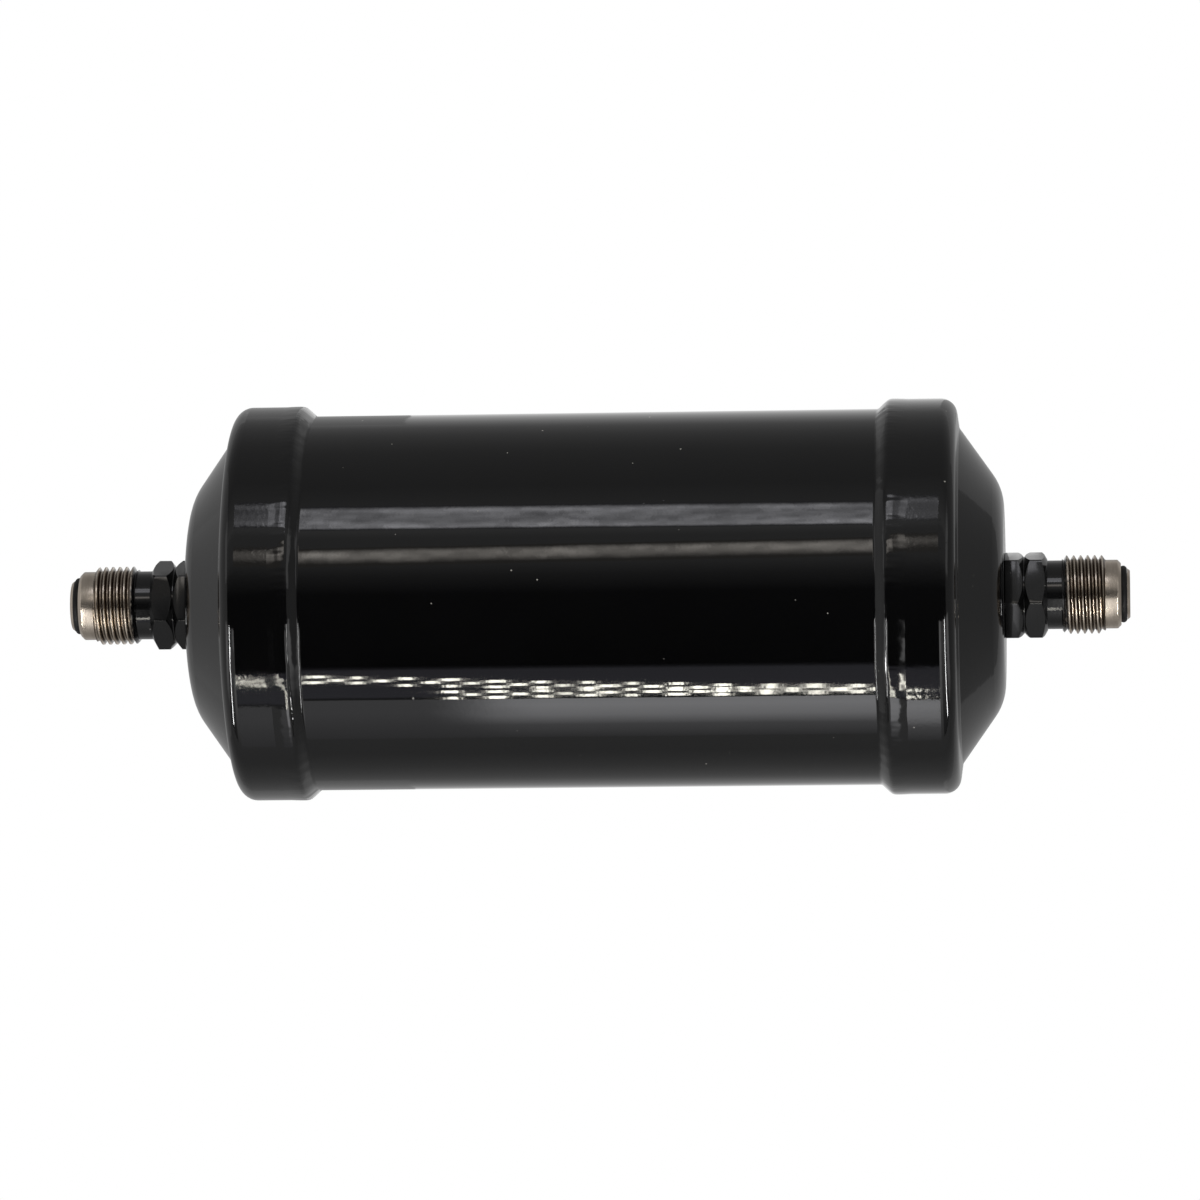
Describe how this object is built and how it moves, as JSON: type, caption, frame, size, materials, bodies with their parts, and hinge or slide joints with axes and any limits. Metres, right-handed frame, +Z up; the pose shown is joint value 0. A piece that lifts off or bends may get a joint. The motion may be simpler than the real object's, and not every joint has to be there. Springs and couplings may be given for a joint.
{
  "type": "receiver drier",
  "caption": "Horizontal refrigerant receiver drier: a black steel can with domed, welded end caps and a threaded male fitting with double hexagon and O-ring at each end.",
  "frame": {"origin": "middle of the can's axis, half-way between the two nose tips", "axes": "+X along the can from the inlet to the outlet, +Z up as the drier lies horizontally"},
  "size_m": [0.2154, 0.0804, 0.0804],
  "materials": {
    "can_paint": "gloss black paint over steel, light orange peel and dust specks",
    "fitting_metal": "fine turned, brownish plated steel; hexagons and neck sprayed black",
    "o_ring_rubber": "satin black rubber",
    "braze_metal": "copper braze, satin",
    "spring_steel": "drawn spring wire, ground ends",
    "plate_steel": "punched sheet steel, satin",
    "screen_wire": "fine woven wire",
    "felt": "needled felt",
    "desiccant_beads": "packed ceramic beads, matte"
  },
  "bodies": {
    "root": {"shell_tube": "can_paint", "inlet_end_cap": "can_paint", "outlet_end_cap": "can_paint", "inlet_weld_bead": "can_paint", "outlet_weld_bead": "can_paint", "inlet_fitting": "fitting_metal", "outlet_fitting": "fitting_metal", "inlet_o_ring": "o_ring_rubber", "outlet_o_ring": "o_ring_rubber", "inlet_braze_ring": "braze_metal", "outlet_braze_ring": "braze_metal", "compression_spring": "spring_steel", "inlet_pressure_plate": "plate_steel", "outlet_support_plate": "plate_steel", "inlet_mesh_screen": "screen_wire", "outlet_mesh_screen": "screen_wire", "inlet_felt_pad": "felt", "outlet_felt_pad": "felt", "desiccant_bed": "desiccant_beads"}
  },
  "joints": []
}
